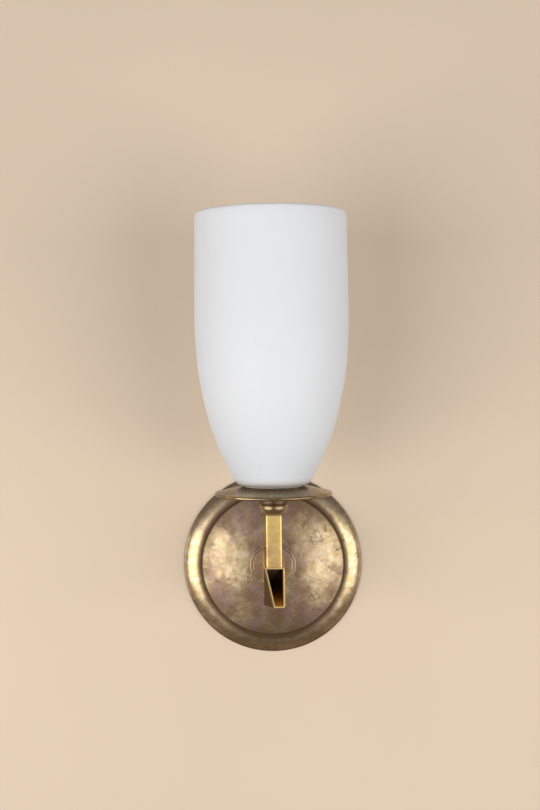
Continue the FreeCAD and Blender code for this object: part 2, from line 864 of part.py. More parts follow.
def lamp_glass():
    """Clear tubular envelope, necked into the screw base and round at the top."""
    low = lamp_glass_z - lamp_neck_height
    return on_shade_axis(envelope(0, low).cut(envelope(lamp_glass_wall, low - overrun)))


def lamp_stem():
    """Glass stem inside the lamp, flared at its foot to meet the neck."""
    foot = lamp_glass_z - lamp_neck_height
    neck = lamp_neck_radius - lamp_glass_wall
    return on_shade_axis(turned_run([
        (0, foot),
        (neck, foot),
        (neck, foot + lamp_stem_wall),
        (lamp_stem_radius, foot + lamp_neck_height),
        (lamp_stem_radius, foot + lamp_stem_height),
        (0, foot + lamp_stem_height),
    ]))


def lamp_filament():
    """Two support wires up from the stem and the filament between their ends."""
    foot = lamp_glass_z - lamp_neck_height + lamp_stem_height + filament_radius
    high = foot + filament_rise
    path = [
        Vector(-filament_foot_spread, 0, foot),
        Vector(-filament_spread, 0, high),
        Vector(filament_spread, 0, high),
        Vector(filament_foot_spread, 0, foot),
    ]
    parts = [bar_between(first, second, filament_radius) for first, second in zip(path, path[1:])]
    joints = [Part.makeSphere(filament_radius, corner) for corner in path[1:-1]]
    solid = parts[0]
    for piece in parts[1:] + joints:
        solid = solid.fuse(piece)
    return on_shade_axis(solid.removeSplitter())


def bar_between(start, end, radius):
    """A round bar from one point to another."""
    return Part.makeCylinder(radius, (end - start).Length, start, end - start)


# Leads

def filleted_path(points, radii):
    """Straight runs through points, joined by tangent arcs of the given radii."""
    edges = []
    last = points[0]
    for before, corner, after, radius in zip(points, points[1:], points[2:], radii):
        arrive = (corner - before).normalize()
        leave = (after - corner).normalize()
        half_turn = arrive.getAngle(leave) / 2
        setback = radius * math.tan(half_turn)
        start = corner - arrive * setback
        end = corner + leave * setback
        inward = (leave - arrive).normalize()
        middle = corner + inward * (radius / math.cos(half_turn) - radius)
        if (start - last).Length > shortest_edge:
            edges.append(Part.LineSegment(last, start).toShape())
        edges.append(Part.Arc(start, middle, end).toShape())
        last = end
    edges.append(Part.LineSegment(last, points[-1]).toShape())
    return edges


def lead(side):
    """One insulated lead from the hanger nipple's rear mouth, under the arm's top, to its terminal."""
    near = side * (lead_radius + lead_gap / 2)
    far = side * (terminal_radius_out - terminal_screw_head_radius - lead_radius - lead_gap)
    fan_z = (cap_top_z + insert_floor_z - terminal_sheet) / 2
    rise_out = shade_axis_out - riser_width / 2 + riser_wall + lead_radius + loose_gap
    top_z = arm_top_z - arm_wall - lead_bend_radius
    points = [
        Vector(near, nipple_rear_reach, lead_rear_rise),
        Vector(near, -boss_face - lead_turn_radius, lead_rear_rise),
        Vector(near, -rise_out + lead_top_run, top_z),
        Vector(near, -rise_out, top_z),
        Vector(near, -rise_out, arm_top_z + lead_turn_radius),
        Vector(near, -shade_axis_out, collar_bottom_z - lead_turn_radius),
        Vector(near, -shade_axis_out, fan_z),
        Vector(far, -shade_axis_out, fan_z),
    ]
    turns = [lead_turn_radius] * 2 + [lead_bend_radius] + [lead_turn_radius] * 2
    edges = filleted_path(points, turns + [abs(far - near) / 2])
    section = Part.Wire([Part.makeCircle(lead_radius, points[0], Vector(0, -1, 0))])
    return Part.Wire(edges).makePipeShell([section], True, True)


def live_lead():
    """The lead on the left."""
    return lead(-1)


def neutral_lead():
    """The lead on the right."""
    return lead(1)


PIECES = (
    backplate,
    boss,
    crossbar,
    ground_screw,
    hanger_nipple,
    crossbar_locknut,
    plate_washer,
    plate_nut,
    arm,
    riser,
    collar,
    saucer,
    cup_nipple,
    tooth_washer,
    saucer_nut,
    socket_cap,
    socket_sleeve,
    socket_insert,
    screw_shell,
    centre_contact,
    terminal_plates,
    terminal_screws,
    foot_gasket,
    shade,
    ring_gasket,
    screw_ring,
    lamp_base,
    lamp_button,
    lamp_tip,
    lamp_glass,
    lamp_stem,
    lamp_filament,
    live_lead,
    neutral_lead,
)


def main():
    """Builds every piece, writes it to parts/ and prints its size."""
    os.makedirs("parts", exist_ok=True)
    for make in PIECES:
        shape = make()
        box = shape.BoundBox
        shape.exportStep("parts/" + make.__name__ + ".step")
        print(f"{make.__name__}: solids {len(shape.Solids)}, volume {shape.Volume:.1f}", shape.isValid())
        print(f"    x {box.XMin:.2f} to {box.XMax:.2f}, y {box.YMin:.2f} to {box.YMax:.2f}")
        print(f"    z {box.ZMin:.2f} to {box.ZMax:.2f}")


main()
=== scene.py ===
import json
import logging
import math
from dataclasses import dataclass, field, replace
from enum import Enum
from typing import Any, Callable, Mapping, Sequence, Union

import bmesh
import bpy
from mathutils import Matrix, Vector


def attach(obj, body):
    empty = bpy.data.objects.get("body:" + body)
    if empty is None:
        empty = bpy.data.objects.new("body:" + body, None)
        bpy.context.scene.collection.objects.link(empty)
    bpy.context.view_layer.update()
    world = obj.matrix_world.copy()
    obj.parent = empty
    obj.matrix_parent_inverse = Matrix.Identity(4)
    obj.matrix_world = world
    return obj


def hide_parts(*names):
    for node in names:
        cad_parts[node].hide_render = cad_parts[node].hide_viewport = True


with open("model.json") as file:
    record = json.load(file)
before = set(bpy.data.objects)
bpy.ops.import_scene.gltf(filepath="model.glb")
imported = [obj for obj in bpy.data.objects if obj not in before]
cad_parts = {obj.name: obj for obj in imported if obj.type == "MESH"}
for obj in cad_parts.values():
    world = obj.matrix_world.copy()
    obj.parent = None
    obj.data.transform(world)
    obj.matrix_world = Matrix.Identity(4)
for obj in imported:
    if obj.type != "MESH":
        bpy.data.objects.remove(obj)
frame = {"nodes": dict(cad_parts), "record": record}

LOG = logging.getLogger("sconce")
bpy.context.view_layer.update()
MM = 0.001
SHADE_AXIS_OUT = 88.9
SHARP_EDGE_ANGLE = math.radians(32)

Color = tuple[float, float, float]
Point = tuple[float, float]
Span = tuple[float, float]
Place = tuple[float, float, float]


class Axis(Enum):
    """The line that a turned piece goes round."""

    WALL = "out of the wall"
    SHADE = "upright through the shade"


class Body(Enum):
    """The moving bodies that pieces ride on."""

    ROOT = "root"
    SHADE = "shade"
    RING = "ring"
    LAMP = "lamp"


MADE: dict[str, bpy.types.Material] = {}


# Shader building


def math_node(operation: str, flipped: bool = False) -> Callable[["Wire", "Value"], "Wire"]:
    """Returns a method for Wire that adds one Math node.

    Args:
        operation: What the node works out.
        flipped: Whether the other value comes first.

    Returns:
        The method.
    """

    def method(wire: "Wire", other: "Value") -> "Wire":
        """Returns the node's output."""
        first, second = (other, wire) if flipped else (wire, other)
        return wire.book.add("ShaderNodeMath", {"operation": operation}, {0: first, 1: second})

    return method


class Wire:
    """One output of a material's node, usable in arithmetic."""

    __add__ = math_node("ADD")
    __radd__ = math_node("ADD", flipped=True)
    __sub__ = math_node("SUBTRACT")
    __rsub__ = math_node("SUBTRACT", flipped=True)
    __mul__ = math_node("MULTIPLY")
    __truediv__ = math_node("DIVIDE")
    least = math_node("MINIMUM")
    most = math_node("MAXIMUM")

    def __init__(self, book: "NodeBook", socket: bpy.types.NodeSocket) -> None:
        """Keeps the socket and the material that it belongs to."""
        self.book = book
        self.socket = socket

    def step(self, low: float, high: float) -> "Wire":
        """Returns a smooth rise from 0 to 1 between two values.

        Args:
            low: The value at which the rise starts.
            high: The value at which it ends, which may lie below low for a fall.

        Returns:
            The risen value.
        """
        if low < high:
            settings = {"interpolation_type": "SMOOTHSTEP"}
            return self.book.add("ShaderNodeMapRange", settings, {0: self, 1: low, 2: high, 3: 0.0, 4: 1.0})
        return 1.0 - self.step(high, low)

    def within(self, low: float, high: float, fade_in: float, fade_out: float) -> "Wire":
        """Returns a mask that is 1 between two values.

        Args:
            low: The lower value.
            high: The higher value.
            fade_in: How far below the lower value the mask starts to rise.
            fade_out: How far above the higher value it has fallen to 0.

        Returns:
            The mask.
        """
        return self.step(low - fade_in, low) * self.step(high + fade_out, high)


Value = Union[Wire, float]


class NodeBook:
    """The nodes of one material, added one at a time."""

    def __init__(self, name: str) -> None:
        """Starts a material with its shader and output.

        Args:
            name: The material's name.
        """
        self.material = bpy.data.materials.new(name + "_surface")
        self.material.use_nodes = True
        self.tree = self.material.node_tree
        self.shader = self.tree.nodes["Principled BSDF"]

    def add(
        self,
        kind: str,
        settings: Mapping[str, Any],
        inputs: Mapping[Union[int, str], Any],
        output: Union[int, str] = 0,
    ) -> Wire:
        """Adds a node, sets it up and connects its inputs.

        Args:
            kind: The node's type.
            settings: The node's own properties.
            inputs: Values or wires by the input's name or number.
            output: The output that is returned.

        Returns:
            The wire of that output.
        """
        node = self.tree.nodes.new(kind)
        for key, value in settings.items():
            setattr(node, key, value)
        for key, value in inputs.items():
            self.feed(node.inputs[key], value)
        return Wire(self, node.outputs[output])

    def feed(self, socket: bpy.types.NodeSocket, value: Any) -> None:
        """Connects a wire to a socket, or sets the socket's own value.

        Args:
            socket: The socket that is fed.
            value: A wire, a number or a colour.
        """
        if isinstance(value, Wire):
            self.tree.links.new(value.socket, socket)
        elif isinstance(value, tuple) and len(value) == 3 and socket.type == "RGBA":
            socket.default_value = (*value, 1.0)
        else:
            socket.default_value = value

    def place(self) -> Wire:
        """Returns the object's own coordinates, in metres."""
        return self.add("ShaderNodeTexCoord", {}, {}, "Object")

    def noise(self, size: float, detail: float = 3.0, rough: float = 0.55) -> Wire:
        """Returns cloudy noise.

        Args:
            size: The width of its clouds in millimetres.
            detail: The number of finer layers.
            rough: The weight of the finer layers.

        Returns:
            A value around 0.5.
        """
        inputs = {"Vector": self.place(), "Scale": 1 / (size * MM), "Detail": detail, "Roughness": rough}
        return self.add("ShaderNodeTexNoise", {}, inputs)

    def wander(self, size: float) -> Wire:
        """Returns a noise of vectors around zero, for bending coordinates.

        Args:
            size: The width of its clouds in millimetres.

        Returns:
            The vectors, each part from -0.5 to 0.5.
        """
        inputs = {"Vector": self.place(), "Scale": 1 / (size * MM), "Detail": 3.0}
        color = self.add("ShaderNodeTexNoise", {}, inputs, "Color")
        return self.add("ShaderNodeVectorMath", {"operation": "SUBTRACT"}, {0: color, 1: (0.5, 0.5, 0.5)})

    def flat_place(self) -> Wire:
        """Returns the object's own coordinates without their depth."""
        x_axis, _, z_axis = self.axes()
        return self.add("ShaderNodeCombineXYZ", {}, {0: x_axis, 2: z_axis})

    def distance(self, at: Wire, across: float = 0.0, up: float = 0.0) -> Wire:
        """Returns the distance of coordinates from a point on the wall.

        Args:
            at: The coordinates in metres.
            across: The point's X in millimetres.
            up: Its Z in millimetres.

        Returns:
            The distance in millimetres.
        """
        inputs = {0: at, 1: (across * MM, 0, up * MM)}
        return self.add("ShaderNodeVectorMath", {"operation": "DISTANCE"}, inputs, "Value") / MM

    def mix(self, factor: Value, first: Any, second: Any) -> Wire:
        """Returns two colours mixed by a factor."""
        return self.add("ShaderNodeMix", {"data_type": "RGBA"}, {0: factor, 6: first, 7: second}, 2)

    def axes(self) -> tuple[Wire, Wire, Wire]:
        """Returns the X, Y and Z values of the object's own coordinates."""
        node = self.add("ShaderNodeSeparateXYZ", {}, {0: self.place()}).socket.node
        return tuple(Wire(self, output) for output in node.outputs)

    def bump(self, height: Wire, depth: float, under: Wire | None = None) -> Wire:
        """Returns a normal with relief.

        Args:
            height: The relief, 0 to 1.
            depth: Its depth in millimetres.
            under: Another relief that lies under it.

        Returns:
            The normal's wire.
        """
        inputs = {"Height": height, "Distance": depth * MM, "Strength": 1.0}
        if under is not None:
            inputs["Normal"] = under
        return self.add("ShaderNodeBump", {}, inputs)

    def set(self, **sockets: Any) -> None:
        """Sets or connects the shader's sockets, named with underscores for spaces."""
        for name, value in sockets.items():
            self.feed(self.shader.inputs[name.replace("_", " ")], value)


@dataclass(frozen=True)
class Finish:
    """A surface with fine grain: two close colours that a cloudy noise mixes."""

    name: str
    color: Color
    second: Color
    roughness: float = 0.5
    roughness_spread: float = 0.08
    metallic: float = 0.0
    grain: float = 3.0
    relief: float = 0.01
    specular: float = 0.5
    color_blend: Span = (0.35, 0.65)

    def material(self) -> bpy.types.Material:
        """Returns the finish's material, built once.

        Returns:
            The material.
        """
        if self.name not in MADE:
            book = NodeBook(self.name)
            self.dress(book)
            MADE[self.name] = book.material
        return MADE[self.name]

    def dress(self, book: NodeBook) -> None:
        """Adds the finish's nodes.

        Args:
            book: The material's nodes.
        """
        clouds = book.noise(self.grain * 4)
        fine = book.noise(self.grain, detail=5.0)
        book.set(
            Base_Color=book.mix(clouds.step(*self.color_blend), self.color, self.second),
            Roughness=self.roughness + (fine - 0.5) * (2 * self.roughness_spread),
            Metallic=self.metallic,
            Specular_IOR_Level=self.specular,
            Normal=book.bump(fine, self.relief),
        )


@dataclass(frozen=True)
class Stain:
    """A mark on the plate: its place across and up from the centre, and its size, in millimetres."""

    across: float
    up: float
    size: float
    strength: float = 1.0


@dataclass(frozen=True)
class Ring:
    """A ring round the plate's centre where tarnish and painted shade gather or tarnish wears off, with its fades, in
    millimetres.
    """

    radius: float
    fade_in: float
    fade_out: float
    strength: float = 1.0


@dataclass(frozen=True)
class Band:
    """A run of heights where tarnish and painted shade gather, with its fade, in millimetres."""

    low: float
    high: float
    fade: float = 0.3
    strength: float = 1.0


@dataclass(frozen=True)
class Tones:
    """A surface's colour, roughness and metal while its material is built."""

    color: Wire
    roughness: Wire
    metallic: Wire


@dataclass(frozen=True)
class PatinaBrass(Finish):
    """Old unlacquered brass: golden where worn, partly as painted highlights, brown and purple-grey where tarnished,
    and dark where tarnish and painted shade lie.
    """

    tarnish: Color = (0.2, 0.14, 0.1)
    violet: Color = (0.3, 0.21, 0.19)
    # Colour of tarnish in hollows and of painted shade under parts and low on the piece.
    recess: Color = (0.085, 0.05, 0.026)
    cloud: float = 16.0
    coverage: float = 0.5
    waviness: float = 0.25
    rubbed_roughness: float = 0.26
    worn_and_highlight_strength: float = 0.72
    cover_fade: float = 0.1
    cover_strength: float = 0.9
    cover_dulling: float = 0.2
    ragged_share: float = 0.45
    ragged_size: float = 0.42
    golden_blend: Span = (0.38, 0.64)
    dull_blend: Span = (0.42, 0.62)
    pit_specks: Span = (0.66, 0.74)
    stain_specks: Span = (0.47, 0.56)
    speck_strength: float = 0.5
    pit_strength: float = 0.7
    pit_darkening: float = 0.4
    pit_roughness: float = 0.15
    pit_dulling: float = 0.3
    recess_roughness: float = 0.16
    recess_dulling: float = 0.1
    mark_raggedness: float = 0.9
    mark_fade: Span = (1.15, 0.35)
    creases: float = 0.0
    crease_spacing: float = 13.0
    crease_drift: float = 5.0
    crease_line: Span = (0.028, 0.004)
    crease_breaks: Span = (0.5, 0.6)
    stains: tuple[Stain, ...] = ()
    # Worn patches, partly wear and partly painted highlights where the soft boxes reflect.
    worn_and_highlight_patches: tuple[Stain, ...] = ()
    # Rings and height runs of dark tarnish and painted shade; worn rings clear tarnish.
    rings: tuple[Ring, ...] = ()
    worn_rings: tuple[Ring, ...] = ()
    bands: tuple[Band, ...] = ()

    def round_centre(self, book: NodeBook, rings: Sequence[Ring]) -> Value:
        """Returns a mask that is 1 on each ring and fades to either side of it.

        Args:
            book: The material's nodes.
            rings: The rings.

        Returns:
            The mask.
        """
        out = book.distance(book.flat_place())
        total: Value = 0.0
        for ring in rings:
            total = out.within(ring.radius, ring.radius, ring.fade_in, ring.fade_out) * ring.strength + total
        return total

    def tarnish_and_shade_mask(self, book: NodeBook) -> Value:
        """Returns a mask of the rings and heights where dark tarnish and painted shade lie.

        Args:
            book: The material's nodes.

        Returns:
            The mask, or 0 where there are none.
        """
        total: Value = self.round_centre(book, self.rings) if self.rings else 0.0
        for band in self.bands:
            up = book.axes()[2] / MM
            total = up.within(band.low, band.high, band.fade, band.fade) * band.strength + total
        return total

    def local_tones(self, book: NodeBook, tones: Tones) -> Tones:
        """Returns the tones with the tarnish and painted shade that lie at certain places.

        Args:
            book: The material's nodes.
            tones: The tones so far.

        Returns:
            The changed tones.
        """
        # Tarnish and painted shade pull the colour towards the recess colour.
        dark = self.tarnish_and_shade_mask(book)
        if not isinstance(dark, Wire):
            return tones
        roughness = tones.roughness + dark * self.recess_roughness
        metallic = tones.metallic - dark * self.recess_dulling
        return Tones(book.mix(dark, tones.color, self.recess), roughness, metallic)

    def crease_lines(self, book: NodeBook, ragged: Wire) -> Wire:
        """Returns a mask of thin broken lines, as dents and scratches leave in the sheet.

        Args:
            book: The material's nodes.
            ragged: The noise that breaks the lines.

        Returns:
            The mask.
        """
        drift = {0: book.wander(self.crease_spacing / 2), "Scale": self.crease_drift * MM}
        bend = book.add("ShaderNodeVectorMath", {"operation": "SCALE"}, drift)
        where = book.add("ShaderNodeVectorMath", {"operation": "ADD"}, {0: book.place(), 1: bend})
        inputs = {"Vector": where, "Scale": 1 / (self.crease_spacing * MM)}
        edge = book.add("ShaderNodeTexVoronoi", {"feature": "DISTANCE_TO_EDGE"}, inputs, "Distance")
        return edge.step(*self.crease_line) * ragged.step(*self.crease_breaks)

    def marks(self, book: NodeBook, marks: Sequence[Stain]) -> Value:
        """Returns a mask that is 1 in the middle of each mark and falls to 0 at its ragged edge.

        Args:
            book: The material's nodes.
            marks: The marks.

        Returns:
            The mask.
        """
        ragged = book.noise(size=3.5, detail=4.0, rough=0.7) - 0.5
        flat = book.flat_place()
        total: Value = 0.0
        for mark in marks:
            gap = book.distance(flat, mark.across, mark.up) / mark.size
            total = (gap + ragged * self.mark_raggedness).step(*self.mark_fade) * mark.strength + total
        return total

    def dress(self, book: NodeBook) -> None:
        """Adds the finish's nodes.

        Args:
            book: The material's nodes.
        """
        broad = book.noise(self.cloud, detail=2.0, rough=0.5)
        ragged = book.noise(self.cloud * self.ragged_size, detail=6.0, rough=0.68)
        fine = book.noise(size=4.0, detail=5.0, rough=0.62)
        specks = book.noise(size=1.1, rough=0.6)
        clouds = broad * (1 - self.ragged_share) + ragged * self.ragged_share
        cover = clouds.step(self.coverage - self.cover_fade, self.coverage + self.cover_fade)
        if self.worn_rings:
            cover = (cover - self.round_centre(book, self.worn_rings)).most(0.0)
        # Worn patches, partly wear and partly painted highlights, clear the tarnish.
        if self.worn_and_highlight_patches:
            cover = (cover - self.marks(book, self.worn_and_highlight_patches) * self.worn_and_highlight_strength).most(0.0)
        pits = specks.step(*self.pit_specks) * self.speck_strength
        if self.stains:
            pits = pits.most(self.marks(book, self.stains).least(1.0) * specks.step(*self.stain_specks))
        if self.creases:
            pits = pits.most(self.crease_lines(book, ragged) * self.creases)
        golden = book.mix(fine.step(*self.golden_blend), self.color, self.second)
        tarnish_clouds = book.noise(self.cloud * 0.7, detail=4.0, rough=0.6)
        dull = book.mix(tarnish_clouds.step(*self.dull_blend), self.tarnish, self.violet)
        color = book.mix(cover * self.cover_strength, golden, dull)
        dark = tuple(each * self.pit_darkening for each in self.tarnish)
        color = book.mix(pits * self.pit_strength, color, dark)
        tarnish_roughness = cover * (self.roughness - self.rubbed_roughness)
        roughness = self.rubbed_roughness + tarnish_roughness + pits * self.pit_roughness
        metallic = 1.0 - cover * self.cover_dulling - pits * self.pit_dulling
        tones = self.local_tones(book, Tones(color, roughness, metallic))
        waves = book.bump(book.noise(self.cloud * 0.9, detail=1.0, rough=0.4), self.waviness)
        grain = book.bump(fine, self.relief * 4, under=waves)
        book.set(
            Base_Color=tones.color,
            Roughness=tones.roughness + (fine - 0.5) * self.roughness_spread,
            Metallic=tones.metallic,
            Normal=book.bump(pits, -self.relief * 4, under=grain),
        )


@dataclass(frozen=True)
class FoldedBrass(PatinaBrass):
    """The arm's brass: dark on its folded-in side, brown inside and lighter at its front edge, partly wear and partly
    painted highlight.
    """

    fold_point: Place = (0.0, 0.0, 0.0)
    fold_normal: Place = (0.0, 0.0, 1.0)
    inner_half: Point = (5.0, 10.0)
    front: float = 93.9
    rear: float = 14.7
    skin: float = 0.25
    inside: Color = (0.92, 0.58, 0.20)
    inside_roughness: float = 0.1
    # Lighter front edge: partly wear, partly painted highlight.
    edge_wear_and_highlight: Color = (0.90, 0.70, 0.34)
    edge_wear_and_highlight_share: float = 0.2

    def tarnish_and_shade_mask(self, book: NodeBook) -> Value:
        """Returns a mask of the folded-in side's outer face and of the heights of painted shade and tarnish.

        Args:
            book: The material's nodes.

        Returns:
            The mask.
        """
        point = tuple(each * MM for each in self.fold_point)
        gap = book.add("ShaderNodeVectorMath", {"operation": "SUBTRACT"}, {0: book.place(), 1: point})
        depth = book.add("ShaderNodeVectorMath", {"operation": "DOT_PRODUCT"}, {0: gap, 1: self.fold_normal}, "Value")
        return (super().tarnish_and_shade_mask(book) + (depth / MM).step(-2 * self.skin, -self.skin)).least(1.0)

    def local_tones(self, book: NodeBook, tones: Tones) -> Tones:
        """Returns the tones with the folded side, the inside and the front edge.

        Args:
            book: The material's nodes.
            tones: The tones so far.

        Returns:
            The changed tones.
        """
        tones = super().local_tones(book, tones)
        outer_face = self.tarnish_and_shade_mask(book)
        x_axis, y_axis, z_axis = book.axes()
        half_width, half_height = (each + self.skin for each in self.inner_half)
        across = (x_axis / MM).within(-half_width, half_width, self.skin, self.skin)
        upright = (z_axis / MM).within(-half_height, half_height, self.skin, self.skin)
        out = y_axis / -MM
        edge = out.step(self.front - 2 * self.skin, self.front - self.skin)
        behind_edge = across * upright * (1.0 - edge)
        inside = behind_edge * (1.0 - outer_face) * out.step(self.rear, self.rear + self.skin)
        color = book.mix(inside, tones.color, self.inside)
        # Wear and painted highlight at the front edge.
        color = book.mix(edge * self.edge_wear_and_highlight_share, color, self.edge_wear_and_highlight)
        return Tones(color, tones.roughness + inside * self.inside_roughness, tones.metallic - inside)


@dataclass(frozen=True)
class OpalGlass(Finish):
    """White cased glass with a satin skin, painted shade making it a little darker downwards and a painted reflection
    of the brass making it brownish at its very foot.
    """

    foot_up: float = 58.2
    # Painted shade: the glass darkens towards its foot over this height.
    painted_shade_height: float = 60.0
    # Painted reflection of the saucer's brass on the glass's foot.
    foot_reflection_fade: float = 4.5
    foot_painted_reflection: Color = (0.42, 0.34, 0.24)
    foot_reflection_strength: float = 0.6
    drift_tint: Color = (0.80, 0.82, 0.84)
    drift_blend: Span = (0.3, 0.7)
    drift_strength: float = 0.12
    scatter: float = 8.0

    def dress(self, book: NodeBook) -> None:
        """Adds the finish's nodes.

        Args:
            book: The material's nodes.
        """
        _, _, height = book.axes()
        # Painted shade: the second colour low on the glass, the first colour higher up.
        up = (height / MM - self.foot_up).step(0.0, self.painted_shade_height)
        drift = book.noise(size=38.0, detail=2.0).step(*self.drift_blend)
        color = book.mix(up, self.second, self.color)
        tint = book.mix(drift * self.drift_strength, color, self.drift_tint)
        # Painted reflection of the brass, brownish near the foot.
        near_foot = (height / MM - self.foot_up).step(self.foot_reflection_fade, 0.0)
        tint = book.mix(near_foot * self.foot_reflection_strength, tint, self.foot_painted_reflection)
        book.shader.subsurface_method = "BURLEY"
        book.set(
            Base_Color=tint,
            Roughness=self.roughness + (book.noise(size=9.0) - 0.5) * self.roughness_spread,
            Subsurface_Weight=0.7,
            Subsurface_Radius=(1.0, 1.0, 1.0),
            Subsurface_Scale=self.scatter * MM,
            Specular_IOR_Level=self.specular,
            Normal=book.bump(book.noise(size=30.0, detail=1.0), depth=0.1),
        )


@dataclass(frozen=True)
class ClearGlass(Finish):
    """Thin clear lamp glass with a faint haze."""

    cover: float = 0.22
    haze_cover: float = 0.04

    def dress(self, book: NodeBook) -> None:
        """Adds the finish's nodes.

        Args:
            book: The material's nodes.
        """
        haze = book.noise(self.grain)
        book.set(
            Base_Color=book.mix(haze, self.color, self.second),
            Roughness=self.roughness + haze * self.roughness_spread,
            Alpha=self.cover + haze * self.haze_cover,
            Specular_IOR_Level=self.specular,
        )


PLATE_BRASS = PatinaBrass(
    "plate_brass",
    color=(0.45, 0.335, 0.17),
    second=(0.60, 0.48, 0.33),
    tarnish=(0.225, 0.14, 0.085),
    violet=(0.29, 0.19, 0.165),
    recess=(0.095, 0.053, 0.02),
    coverage=0.43,
    roughness=0.36,
    rubbed_roughness=0.31,
    relief=0.003,
    creases=0.8,
    # Worn patches, partly wear and partly painted highlight, set left and right where the soft boxes reflect.
    worn_and_highlight_patches=(
        Stain(-28, 5, 16),
        Stain(-22, -7, 10),
        Stain(29, 12, 20),
        Stain(28, -8, 11),
        Stain(-34, 18, 8),
        Stain(-51, 8, 14),
        Stain(-49, -13, 11),
        Stain(51, 4, 15),
        Stain(48, -16, 10),
        Stain(47, 23, 9),
    ),
    stains=(Stain(54.6, 4.5, 2.4), Stain(26, -20, 5.5), Stain(27, 17, 6.0, 0.8), Stain(-31, -18, 4.0, 0.8)),
    # Tarnish and painted shade in the groove, a soft darkening on the dome's edge, and a painted contact shadow at
    # the lip.
    rings=(Ring(45.6, 1.5, 4.4, 0.9), Ring(44.1, 9.0, 1.5, 0.3), Ring(57.2, 1.0, 0.5, 1.0)),
    worn_rings=(Ring(52.0, 5.0, 4.0, 0.8),),
    # Painted shade: the plate is darker towards its bottom.
    bands=(Band(-60.0, -50.0, 16.0, 0.5),),
)
ARM_BRASS = FoldedBrass(
    "arm_brass",
    color=(0.76, 0.53, 0.18),
    second=(0.83, 0.61, 0.25),
    tarnish=(0.56, 0.36, 0.14),
    violet=(0.50, 0.31, 0.17),
    recess=(0.10, 0.052, 0.014),
    # Painted shadow of the collar on the riser's top.
    bands=(Band(41.8, 46.0, 1.8, 0.9),),
    cloud=14.0,
    coverage=0.58,
    waviness=0.03,
    relief=0.003,
    roughness=0.46,
    rubbed_roughness=0.40,
)
SAUCER_BRASS = PatinaBrass(
    "saucer_brass",
    color=(0.42, 0.30, 0.14),
    second=(0.46, 0.34, 0.17),
    tarnish=(0.21, 0.14, 0.075),
    violet=(0.225, 0.16, 0.09),
    cloud=20.0,
    coverage=0.45,
    waviness=0.1,
    relief=0.003,
    roughness=0.28,
    rubbed_roughness=0.2,
    # Partly tarnish in the collar's waist, partly painted shade under the saucer.
    bands=(Band(47.3, 52.5, strength=0.95),),
)
# Its second colour is the painted shade low on the glass.
OPAL = OpalGlass("opal_glass", (0.82, 0.84, 0.875), (0.775, 0.805, 0.84), roughness=0.55)
SMALL_FINISHES = {
    finish.name: finish
    for finish in (
        Finish("zinc_steel", (0.55, 0.55, 0.52), (0.62, 0.61, 0.55), 0.34, metallic=1.0, grain=1.2),
        Finish("socket_moulding", (0.02, 0.018, 0.016), (0.035, 0.03, 0.026), 0.4, grain=1.0),
        Finish("porcelain", (0.78, 0.76, 0.70), (0.72, 0.70, 0.64), 0.2, 0.04, grain=2.5),
        Finish("nickel", (0.58, 0.55, 0.50), (0.66, 0.63, 0.57), 0.28, metallic=1.0, grain=1.5),
        Finish("contact_brass", (0.70, 0.52, 0.24), (0.62, 0.44, 0.20), 0.3, metallic=1.0, grain=1.0),
        Finish("felt", (0.62, 0.59, 0.52), (0.52, 0.49, 0.43), 0.95, 0.03, grain=0.5, relief=0.12),
        Finish("gasket_rubber", (0.02, 0.02, 0.02), (0.032, 0.032, 0.03), 0.7, grain=0.8),
        Finish("lamp_insulator", (0.012, 0.012, 0.014), (0.02, 0.02, 0.022), 0.16, 0.03, grain=1.5),
        Finish("solder", (0.55, 0.55, 0.56), (0.64, 0.64, 0.64), 0.36, metallic=1.0, grain=0.5, relief=0.04),
        ClearGlass("lamp_clear_glass", (0.93, 0.95, 0.95), (0.88, 0.91, 0.91), 0.04, 0.03, grain=6),
        Finish("filament_wire", (0.28, 0.27, 0.26), (0.20, 0.19, 0.18), 0.45, metallic=1.0, grain=0.4),
        Finish("lead_black", (0.015, 0.015, 0.015), (0.025, 0.024, 0.023), 0.55, grain=0.8),
        Finish("lead_brown", (0.06, 0.028, 0.014), (0.08, 0.04, 0.02), 0.55, grain=0.8),
    )
}


# Shapes


def spread(start: float, end: float, steps: int) -> list[float]:
    """Returns evenly spaced values, both ends included."""
    return [start + (end - start) * step / steps for step in range(steps + 1)]


def directions(count: int) -> list[Point]:
    """Returns evenly spaced directions all the way round."""
    turns = [math.tau * step / count for step in range(count)]
    return [(math.cos(turn), math.sin(turn)) for turn in turns]


def arc(centre: Point, radius: float, start: float, end: float, steps: int) -> list[Point]:
    """Returns the points of an arc.

    Args:
        centre: The arc's centre.
        radius: The arc's radius.
        start: The angle of its first point, in degrees from the radius axis.
        end: The angle of its last point.
        steps: The number of runs that it is drawn with.

    Returns:
        The points, both ends included.
    """
    turns = [math.radians(angle) for angle in spread(start, end, steps)]
    return [(centre[0] + radius * math.cos(turn), centre[1] + radius * math.sin(turn)) for turn in turns]


def smooth_curve(points: Sequence[Point], steps: int) -> list[Point]:
    """Returns a smooth curve through points, denser by a number of steps between each two.

    Args:
        points: The points that it goes through.
        steps: The runs between each two points.

    Returns:
        The curve's points.
    """
    curve: list[Point] = []
    last = len(points) - 1
    for index in range(last):
        before = Vector(points[max(index - 1, 0)])
        start, end = Vector(points[index]), Vector(points[index + 1])
        after = Vector(points[min(index + 2, last)])
        leave = (end - before) / (2 if index else 1)
        arrive = (after - start) / (2 if index + 1 < last else 1)
        for step in range(steps):
            t = step / steps
            spot = (2 * t**3 - 3 * t**2 + 1) * start + (t**3 - 2 * t**2 + t) * leave
            spot += (3 * t**2 - 2 * t**3) * end + (t**3 - t**2) * arrive
            curve.append((spot.x, spot.y))
    return curve + [tuple(points[-1])]


